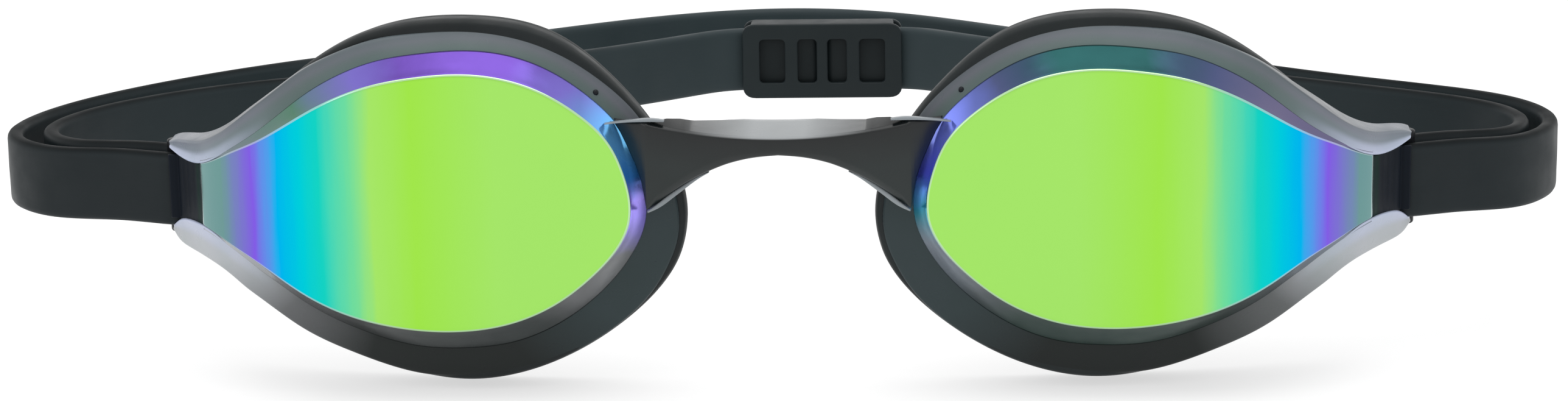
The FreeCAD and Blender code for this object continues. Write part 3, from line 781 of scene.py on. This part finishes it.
def lathe(name, profile, centre, axis="z", steps=32):
    """A turned piece from (radius, height) pairs; its ends close on the axis."""
    rings = []
    for radius, height in profile:
        for j in range(steps):
            a = 2 * math.pi * j / steps
            c, s = radius * math.cos(a), radius * math.sin(a)
            rings.append((centre[0] + c, centre[1] + s, centre[2] + height) if axis == "z"
                         else (centre[0] + c, centre[1] + height, centre[2] + s))
    return outward(add_object(name, world(rings), tube_faces(len(profile), steps)))


def ear_post():
    """The round post that the strap folds round."""
    half, radius, dome = 5.8, 1.2, 0.35
    profile = [(radius - dome * (1 - math.sin(a)), -half + dome * (1 - math.cos(a)))
               for a in np.linspace(0, math.pi / 2, 5)]
    profile += [(radius, z) for z in np.linspace(-half + dome + 0.6, half - dome - 0.6, 6)]
    profile += [(r, -h) for r, h in reversed(profile[:5])]
    return lathe("post", profile, (POST_X, POST_DEPTH, EAR_LEVEL))


def ear_slot_wall_and_shade():
    """The ribbed bar between the two ear arms, in front of the strap's fold: partly the moulding's slot wall,
    partly a dark sheet put over the fold where there is only shade.
    """
    start, end, low, high = 69.9, 75.3, 19.0, 26.9
    xs = np.linspace(start, end, 56)
    rings = []
    for x in xs:
        taper = max(0.0, (x - 75.0) / 0.3) ** 2
        rib = 0.05 * abs(math.sin((x - start) * math.pi / 0.85))
        depth = min(float(bend(x)) + 0.42, 16.9) - rib + 0.25 * taper
        rear = depth + 0.6 - 0.3 * taper
        corners = [(depth, low), (rear, low), (rear, high), (depth, high)]
        section = rounded(corners, [0.2] * 4, 3)
        rings += [(x, d, z) for d, z in section]
    return outward(add_object("ear_slot_wall_and_shade", world(rings), tube_faces(len(xs), len(section))))


def blade(name, line, width):
    """A thin tapered lip along a line of (x, z, thickness, depth) points, seen edge-on from the front."""
    samples = smooth_line(line, 40)
    rings = []
    for i, (x, z, thick, depth) in enumerate(samples):
        before, after = samples[max(i - 1, 0)], samples[min(i + 1, len(samples) - 1)]
        along = np.array([after[0] - before[0], after[1] - before[1]])
        along /= np.linalg.norm(along)
        side = np.array([-along[1], along[0]])
        t = max(thick, 0.05) / 2
        section = rounded([(-t, depth), (t, depth), (t, depth + width), (-t, depth + width)], [t] * 4, 3)
        rings += [(x + side[0] * a, d, z + side[1] * a) for a, d in section]
    return outward(add_object(name, world(rings), tube_faces(len(samples), len(section))))


def moulding_point():
    """The small sprue point at the upper nose corner of the flange."""
    i = int(np.argmin(np.abs(NUMBERS - 13.2)))
    x, z = across(i, 0.62)
    depth = front_depth(i, 0.62)
    profile = [(0.36, 0.5), (0.36, 0.05), (0.3, -0.1), (0.18, -0.18), (0.05, -0.2)]
    return lathe("point", profile, (x, depth, z), axis="y", steps=20)


mirror_left = lens_mirror()
dress(mirror_left, MIRROR, EDGE, BEVEL, INSIDE, INSIDE, INSIDE)
frame_left = lens_frame()
dress(frame_left, SMOKE)
post = dress(ear_post(), PIN)
pin = dress(moulding_point(), PIN)
# the dark ribbed bar in the ear slot: partly the slot wall, partly a dark sheet standing in for shade
bar = dress(ear_slot_wall_and_shade(), EAR_SLOT_WALL_AND_SHADE)
frame_left = join("lens_frame_left", [frame_left, post, pin, bar])
mirror_right = mirror_copy(mirror_left, "lens_mirror_right")
frame_right = mirror_copy(frame_left, "lens_frame_right")
for side, pieces in (("left", (mirror_left, frame_left)), ("right", (mirror_right, frame_right))):
    for piece in pieces:
        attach(piece, "eyecups")
    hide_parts(f"lens_{side}")
    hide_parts(f"lens_{side}")


# ---------------------------------------------------------------- gaskets

def gasket():
    """A soft ring round the eye: a stem behind the flange that rolls over into the sealing lip."""
    edge = smooth_line(GASKET_EDGE, 260, closed=True)
    along = np.roll(edge, -1, axis=0) - np.roll(edge, 1, axis=0)
    along /= np.linalg.norm(along, axis=1)[:, None]
    inward = np.stack([-along[:, 1], along[:, 0]], axis=1)
    middle = edge.mean(axis=0)
    if ((middle - edge) * inward).sum() < 0:
        inward = -inward
    front = plan_depth(LENS_BACK, edge[:, 0]) + 0.12
    rear = plan_depth(FACE_SEAL, edge[:, 0])
    rings = []
    for i in range(len(edge)):
        f, r = front[i], max(rear[i], front[i] + 3.4)
        tall = r - f
        under = 1.4 * float(step(inward[i, 1], 0.3, 1.0))
        outside = [
            (0.35 + under, f), (under, f + 0.9), (0.12 + 0.85 * under, f + 0.45 * tall),
            (0.75 + 0.6 * under, f + 0.55 * tall), (0.45 + 0.35 * under, f + 0.72 * tall),
            (0.6 + 0.05 * under, r - 0.55),
        ]
        inside = [(1.8, r), (3.0, r - 0.15), (3.9, r - 1.0), (3.75, f + 0.5 * tall), (3.3, f + 0.9), (3.3, f)]
        radii = [0.4, 0.6, 0.8, 0.6, 0.6, 0.8, 0.8, 0.8, 0.8, 0.8, 0.4, 0.3]
        outline = rounded(outside + inside, radii, 3)
        rings += [(edge[i, 0] + inward[i, 0] * a, d, edge[i, 1] + inward[i, 1] * a) for a, d in outline]
    faces = ring_faces(len(edge), len(outline), closed_rows=True)
    return outward(add_object("gasket_ring_left", world(rings), faces))


gasket_left = dress(gasket(), RUBBER)
gasket_right = mirror_copy(gasket_left, "gasket_ring_right")
for side, piece in (("left", gasket_left), ("right", gasket_right)):
    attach(piece, "eyecups")
    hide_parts(f"gasket_{side}")


# ---------------------------------------------------------------- nose bridge

BRIDGE_HALF, WING_TIP = 15.9, 19.2
NECK_START, NECK_END = 10.2, 11.55          # between these x the bar thins, to pass between the gaskets
BAR_BACK, NECK_BACK = 9.5, 5.55
ARCH = [
    (0.0, 29.4), (3.0, 29.1), (5.8, 28.4), (8.8, 27.2), (10.9, 26.1), (12.7, 24.9), (14.4, 23.75),
    (15.55, 23.15),
]
BESIDE_BEVEL = [
    (15.55, 23.15), (15.75, 24.6), (16.1, 26.6), (16.8, 28.6), (17.7, 30.6), (18.5, 32.2), (19.2, 33.3),
]
UPPER_LIP = [
    (20.2, 33.55, 0.1, 1.1), (18.6, 33.75, 0.18, 1.1), (16.6, 33.9, 0.3, 1.1), (14.8, 33.95, 0.4, 1.1),
    (13.2, 33.85, 0.2, 1.1),
]
LOWER_LIP = [
    (15.4, 22.95, 0.2, 1.3), (14.2, 23.6, 0.5, 1.5), (12.7, 24.65, 0.6, 1.9), (11.0, 25.82, 0.5, 2.3),
    (9.4, 26.85, 0.3, 2.4), (8.2, 27.45, 0.1, 2.4),
]


def nose_bridge():
    """An arched bar: its front face is rounded over the arch and drawn out to the bevels."""
    arch, side = smooth_line(ARCH, 200), np.array(BESIDE_BEVEL)
    half = np.concatenate([
        np.linspace(0, 10.15, 36), [10.3], np.linspace(10.45, 11.5, 6), np.linspace(11.7, 15.5, 18),
        np.linspace(15.58, 16.4, 10), np.linspace(16.6, WING_TIP, 12),
    ])
    xs = np.concatenate([-half[:0:-1], half])
    rings = []
    for x in xs:
        u = abs(x)
        edge = arch if u <= ARCH[-1][0] else side
        inside = 1 - min(u / BRIDGE_HALF, 1.0) ** 2
        front_top = 33.75 - 2.0 * inside
        low = min(float(np.interp(u, edge[:, 0], edge[:, 1])), front_top - 0.35)
        if u <= NECK_START:
            back = BAR_BACK
        elif u <= NECK_END:
            back = NECK_BACK
        else:
            back = max(NECK_BACK - (u - NECK_END) * (4.45 / 4.35), 0.0)
        front = 1.0 + 0.35 * inside + 0.48 * max(u - 15.3, 0.0)
        back = max(back, front + 0.6)
        rear_top = min(32.65 + (BAR_BACK - back) * 0.25, front_top + 0.75, 33.85)
        room, height = back - front, front_top - low
        chamfer = min(1.3, 0.35 * height, 0.8 * room)
        corners = [
            (front, low + chamfer), (front + 0.55 * min(chamfer, room), low + 0.12 * chamfer),
            (back - 0.2 * room, low), (back, low + 0.1 * height), (back, rear_top - 0.1 * height),
            (back - 0.25 * room, rear_top), (front + 0.35 * min(room, 1), front_top),
            (front, front_top - min(0.3, 0.2 * height)),
        ]
        outline = rounded(corners, [0.3, 0.3, 0.3, 0.3, 0.3, 0.3, 0.2, 0.2], 3)
        rings += [(x, d, z) for d, z in outline]
    return outward(add_object("nose_bridge_bar", world(rings), tube_faces(len(xs), len(outline))))


lips = [dress(blade("upper_lip", UPPER_LIP, 0.9), LIP), dress(blade("lower_lip", LOWER_LIP, 1.2), LIP)]
lips += [mirror_copy(lip, lip.name + "_right") for lip in lips]
bridge = join("nose_bridge_bar", [dress(nose_bridge(), BRIDGE)] + lips)
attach(bridge, "nose_bridge")
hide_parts("nose_bridge")


# ---------------------------------------------------------------- straps and buckle

ALONG = np.array([math.cos(FOLD_ANGLE), math.sin(FOLD_ANGLE)])
FORWARD = np.array([ALONG[1], -ALONG[0]])
POST = np.array([POST_X, POST_DEPTH])


def hairpin(side):
    """The strap's middle line on one side: round the ear post and along the front leg of the fold."""
    points = []
    for turn in np.linspace(0, math.pi, 13):
        points.append(POST - FORWARD * FOLD_RADIUS * math.cos(turn) - ALONG * FOLD_RADIUS * math.sin(turn))
    for share in (0.3, 0.65, 0.95):
        points.append(POST + FORWARD * FOLD_RADIUS + ALONG * FOLD_LEG * share)
    return [(side * x, depth) for x, depth in points]


def rear_leg(side):
    """The strap's middle line along the rear leg of the fold."""
    start = POST - FORWARD * FOLD_RADIUS
    return [(side * x, depth) for x, depth in (start + ALONG * FOLD_LEG * share for share in (0.0, 0.4, 0.75))]


def strap(name, line):
    """A flat strap on edge along a plan line, with rounded edges and a slightly crowned face."""
    length = np.linalg.norm(np.diff(np.array(line, float), axis=0), axis=1).sum()
    path = smooth_line(line, int(length))
    along = np.gradient(path, axis=0)
    along /= np.linalg.norm(along, axis=1)[:, None]
    across_plan = np.stack([-along[:, 1], along[:, 0]], axis=1)
    t, w = STRAP_THICKNESS / 2, STRAP_WIDTH / 2
    crown = t + 0.03
    corners = [
        (-t, -w), (t, -w), (t, -0.5 * w), (crown, 0), (t, 0.5 * w), (t, w), (-t, w), (-t, 0.5 * w),
        (-crown, 0), (-t, -0.5 * w),
    ]
    section = rounded(corners, [0.9, 0.9, 0.5, 0.5, 0.5] * 2, 4)
    rings = []
    for (x, depth), (ax, ad) in zip(path, across_plan):
        at_ear = (1 - float(step(abs(x), 80, 93))) * (1 - float(step(depth, 30, 40)))
        level = STRAP_LEVEL + (EAR_LEVEL - STRAP_LEVEL) * at_ear
        rings += [(x + ax * a, depth + ad * a, level + b) for a, b in section]
    return outward(add_object(name, world(rings), tube_faces(len(path), len(section))))


def at(x, depth, z):
    """One point in metres."""
    return tuple(world([(x, depth, z)])[0])


outer_line = hairpin(1) + OUTER_BAND[1:-1] + hairpin(-1)[::-1]
outer = dress(strap("strap_outer", outer_line), SILICONE)
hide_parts("strap_outer_band", "strap_wrap_left", "strap_wrap_right")
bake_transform(outer)


for side, name, line in ((1, "left", INNER_LEFT), (-1, "right", INNER_RIGHT)):
    piece = dress(strap(f"strap_inner_band_{name}", rear_leg(side) + line[-2::-1]), SILICONE)
    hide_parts(f"strap_inner_{name}")
    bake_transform(piece)


def plate(name, outer_size, holes, thickness, bevel, centre, corner):
    """A flat plate with rounded holes, filled from a 2-D curve and given rounded edges."""
    curve = bpy.data.curves.new(name, "CURVE")
    curve.dimensions = "2D"
    curve.fill_mode = "BOTH"
    curve.extrude = (thickness / 2 - bevel) * MM
    curve.bevel_depth = bevel * MM
    curve.bevel_resolution = 3
    curve.offset = -bevel * MM

    def outline(cx, cz, width, height, radius):
        w, h = width / 2, height / 2
        corners = [(cx - w, cz - h), (cx + w, cz - h), (cx + w, cz + h), (cx - w, cz + h)]
        points = rounded(corners, [radius * 1.2] * 4, 6)
        spline = curve.splines.new("POLY")
        spline.points.add(len(points) - 1)
        for point, (x, z) in zip(spline.points, points):
            point.co = (x * MM, z * MM, 0, 1)
        spline.use_cyclic_u = True

    outline(0, 0, *outer_size, corner)
    for cx, width, height in holes:
        outline(cx, 0, width, height, 0.55)
    shape = bpy.data.objects.new(name, curve)
    mesh = bpy.data.meshes.new_from_object(shape)
    bpy.data.objects.remove(shape)
    made = bpy.data.objects.new(name, mesh)
    bpy.context.scene.collection.objects.link(made)
    x, depth, z = at(*centre)
    mesh.transform(Matrix.Translation((x, depth, z)) @ Matrix.Rotation(math.radians(90), 4, "X"))
    return made


def ladder_buckle():
    """Two slotted plates, front and back of the strap, joined by a rail above and a rail below it."""
    window = 6.3
    holes = [(-7.2, 3.6, window), (-2.15, 2.7, window), (2.15, 2.7, window), (7.2, 3.6, window)]
    parts = []
    for sign in (-1, 1):
        plate_at = (BUCKLE_X, BUCKLE_DEPTH + sign * 1.78, STRAP_LEVEL)
        rail_at = (BUCKLE_X, BUCKLE_DEPTH, STRAP_LEVEL + sign * 4.9)
        parts.append(plate("buckle_plate", (23.0, 10.8), holes, 0.85, 0.25, plate_at, 1.6))
        parts.append(plate("buckle_rail", (20.6, 1.0), [], 4.2, 0.3, rail_at, 0.45))
    made = join("ladder_buckle", parts)
    for p in made.data.polygons:
        p.use_smooth = False
    return made


buckle = dress(ladder_buckle(), BUCKLE)
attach(buckle, "inner_band")
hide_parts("buckle")


# ---------------------------------------------------------------- floor, light and camera

def floor_material():
    """White paper that runs out to white."""
    n = Nodes("white_sweep")
    tint = n.mix(n.noise(n.place()[0], 4.0, 2.0), colour(174, 174, 174), colour(178, 178, 178))
    n.set(Base_Color=tint, Roughness=0.9, Specular_IOR_Level=0.0,
          Emission_Color=(1.0, 1.0, 1.0, 1.0), Emission_Strength=0.6)
    return n.material


floor = add_object("floor", [(-6, -6, 0), (6, -6, 0), (6, 6, 0), (-6, 6, 0)], [(0, 1, 2, 3)])
dress(floor, floor_material())

sky = bpy.data.worlds.new("white_studio")
bpy.context.scene.world = sky
sky.use_nodes = True
background = sky.node_tree.nodes["Background"]
background.inputs["Color"].default_value = (1.0, 1.0, 1.0, 1.0)
background.inputs["Strength"].default_value = 1.0


def area_light(name, place, target, size, power):
    """A round soft light at a place, turned to its target."""
    data = bpy.data.lights.new(name, "AREA")
    data.shape = "DISK"
    data.size = size
    data.energy = power
    lamp = bpy.data.objects.new(name, data)
    bpy.context.scene.collection.objects.link(lamp)
    lamp.location = place
    lamp.rotation_mode = "QUATERNION"
    lamp.rotation_quaternion = (Vector(target) - Vector(place)).to_track_quat("-Z", "Y")


area_light("overhead", (0.0, -0.1, 0.9), (0, 0, 0), 0.9, 3.0)
area_light("front_left", (-0.7, -0.9, 0.6), (0, -0.03, 0.02), 0.5, 0.8)

bpy.context.scene.view_settings.view_transform = "Standard"

elevation, yaw, roll = math.radians(13.0), math.radians(2.869), math.radians(1.031)
distance, focal_length = 0.42, 82.7874
level = math.cos(elevation)
back = Vector((math.sin(yaw) * level, -math.cos(yaw) * level, math.sin(elevation)))
right = Vector((math.cos(yaw), math.sin(yaw), 0.0))
up = back.cross(right)
side_axis = right * math.cos(roll) - up * math.sin(roll)
up_axis = up * math.cos(roll) + right * math.sin(roll)
camera_data = bpy.data.cameras.new("camera")
camera_data.sensor_width = 36.0
camera_data.lens = focal_length
camera_data.clip_start, camera_data.clip_end = 0.01, 30.0
camera = bpy.data.objects.new("camera", camera_data)
bpy.context.scene.collection.objects.link(camera)
aim = Vector(at(0.694, 0.0, 24.576))
place = aim + back * distance
camera.matrix_world = Matrix((
    (side_axis.x, up_axis.x, back.x, place.x),
    (side_axis.y, up_axis.y, back.y, place.y),
    (side_axis.z, up_axis.z, back.z, place.z),
    (0.0, 0.0, 0.0, 1.0),
))
bpy.context.scene.camera = camera
